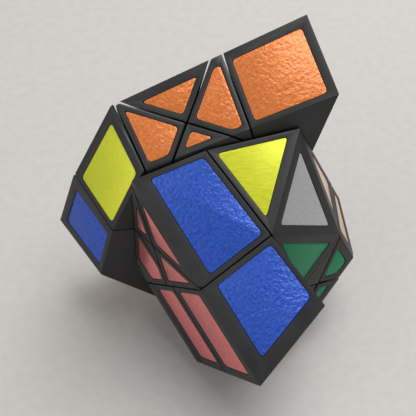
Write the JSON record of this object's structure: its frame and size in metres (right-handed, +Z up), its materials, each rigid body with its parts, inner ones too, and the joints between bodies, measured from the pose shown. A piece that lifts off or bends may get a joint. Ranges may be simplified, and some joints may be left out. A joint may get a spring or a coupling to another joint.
{
  "type": "dodecahedron twisty puzzle",
  "caption": "Black turning puzzle with metallic stickers, stopped in mid-turn, its halves out of line.",
  "frame": {"origin": "on the ground under the middle of the core", "axes": "+Z up; the large blue face looks to -Y and +Z"},
  "size_m": [0.0931, 0.082, 0.0935],
  "materials": {
    "black_plastic": "moulded black plastic with a fine satin grain",
    "core_plastic": "plain moulded plastic",
    "steel": "zinc-plated steel",
    "sticker_blue": "embossed foil sticker",
    "sticker_red": "brushed metallic sticker",
    "sticker_yellow": "brushed metallic sticker",
    "sticker_silver": "brushed metallic sticker",
    "sticker_green": "brushed metallic sticker",
    "sticker_beige": "brushed metallic sticker",
    "sticker_orange": "leather-grained glossy sticker"
  },
  "bodies": {
    "rear_half": {"blue_side_corner": "black_plastic", "orange_kite": "black_plastic", "orange_point": "black_plastic", "orange_side": "black_plastic", "orange_square_corner": "black_plastic", "orange_triangle": "black_plastic", "rear_base": "black_plastic", "sticker_blue_side_corner_rearBlue": "sticker_blue", "sticker_blue_side_corner_rearFar": "sticker_green", "sticker_orange_kite_orange": "sticker_orange", "sticker_orange_kite_rearFar": "sticker_green", "sticker_orange_point_orange": "sticker_orange", "sticker_orange_side_orange": "sticker_orange", "sticker_orange_side_rearFar": "sticker_green", "sticker_orange_square_corner_orange": "sticker_orange", "sticker_orange_square_corner_rearFar": "sticker_green", "sticker_orange_triangle_orange": "sticker_orange", "sticker_orange_triangle_rearFar": "sticker_green", "sticker_rear_base_rearFar": "sticker_green", "sticker_yellow_side_corner_rearFar": "sticker_green", "sticker_yellow_side_corner_rearYellow": "sticker_yellow", "yellow_side_corner": "black_plastic", "core_ball": "core_plastic", "front_core_screw": "steel", "front_retaining_cap": "steel", "rear_core_screw": "steel", "rear_retaining_cap": "steel"},
    "front_half": {"crown_corner": "black_plastic", "green_base_left": "black_plastic", "green_base_right": "black_plastic", "green_base_under": "black_plastic", "green_kite": "black_plastic", "green_point": "black_plastic", "lower_blue_corner": "black_plastic", "red_band_lower": "black_plastic", "red_base_lower": "black_plastic", "red_base_upper": "black_plastic", "red_point_right": "black_plastic", "red_side_left": "black_plastic", "red_star_middle": "black_plastic", "red_star_upper": "black_plastic", "sticker_crown_corner_beige": "sticker_beige", "sticker_crown_corner_green": "sticker_green", "sticker_crown_corner_silver": "sticker_silver", "sticker_crown_corner_yellow": "sticker_yellow", "sticker_green_base_left_green": "sticker_green", "sticker_green_base_under_green": "sticker_green", "sticker_green_point_beige": "sticker_beige", "sticker_green_point_green": "sticker_green", "sticker_lower_blue_corner_blue": "sticker_blue", "sticker_lower_blue_corner_red": "sticker_red", "sticker_red_band_lower_red": "sticker_red", "sticker_red_point_right_red": "sticker_red", "sticker_red_side_left_red": "sticker_red", "sticker_red_star_middle_red": "sticker_red", "sticker_upper_blue_corner_blue": "sticker_blue", "sticker_upper_blue_corner_red": "sticker_red", "upper_blue_corner": "black_plastic"}
  },
  "joints": [
    {"name": "half_turn", "type": "hinge", "parent": "rear_half", "child": "front_half", "pos_m": [0, 0, 0.037], "axis": [-0.2873, 0.9572, -0.0359], "continuous": true}
  ]
}
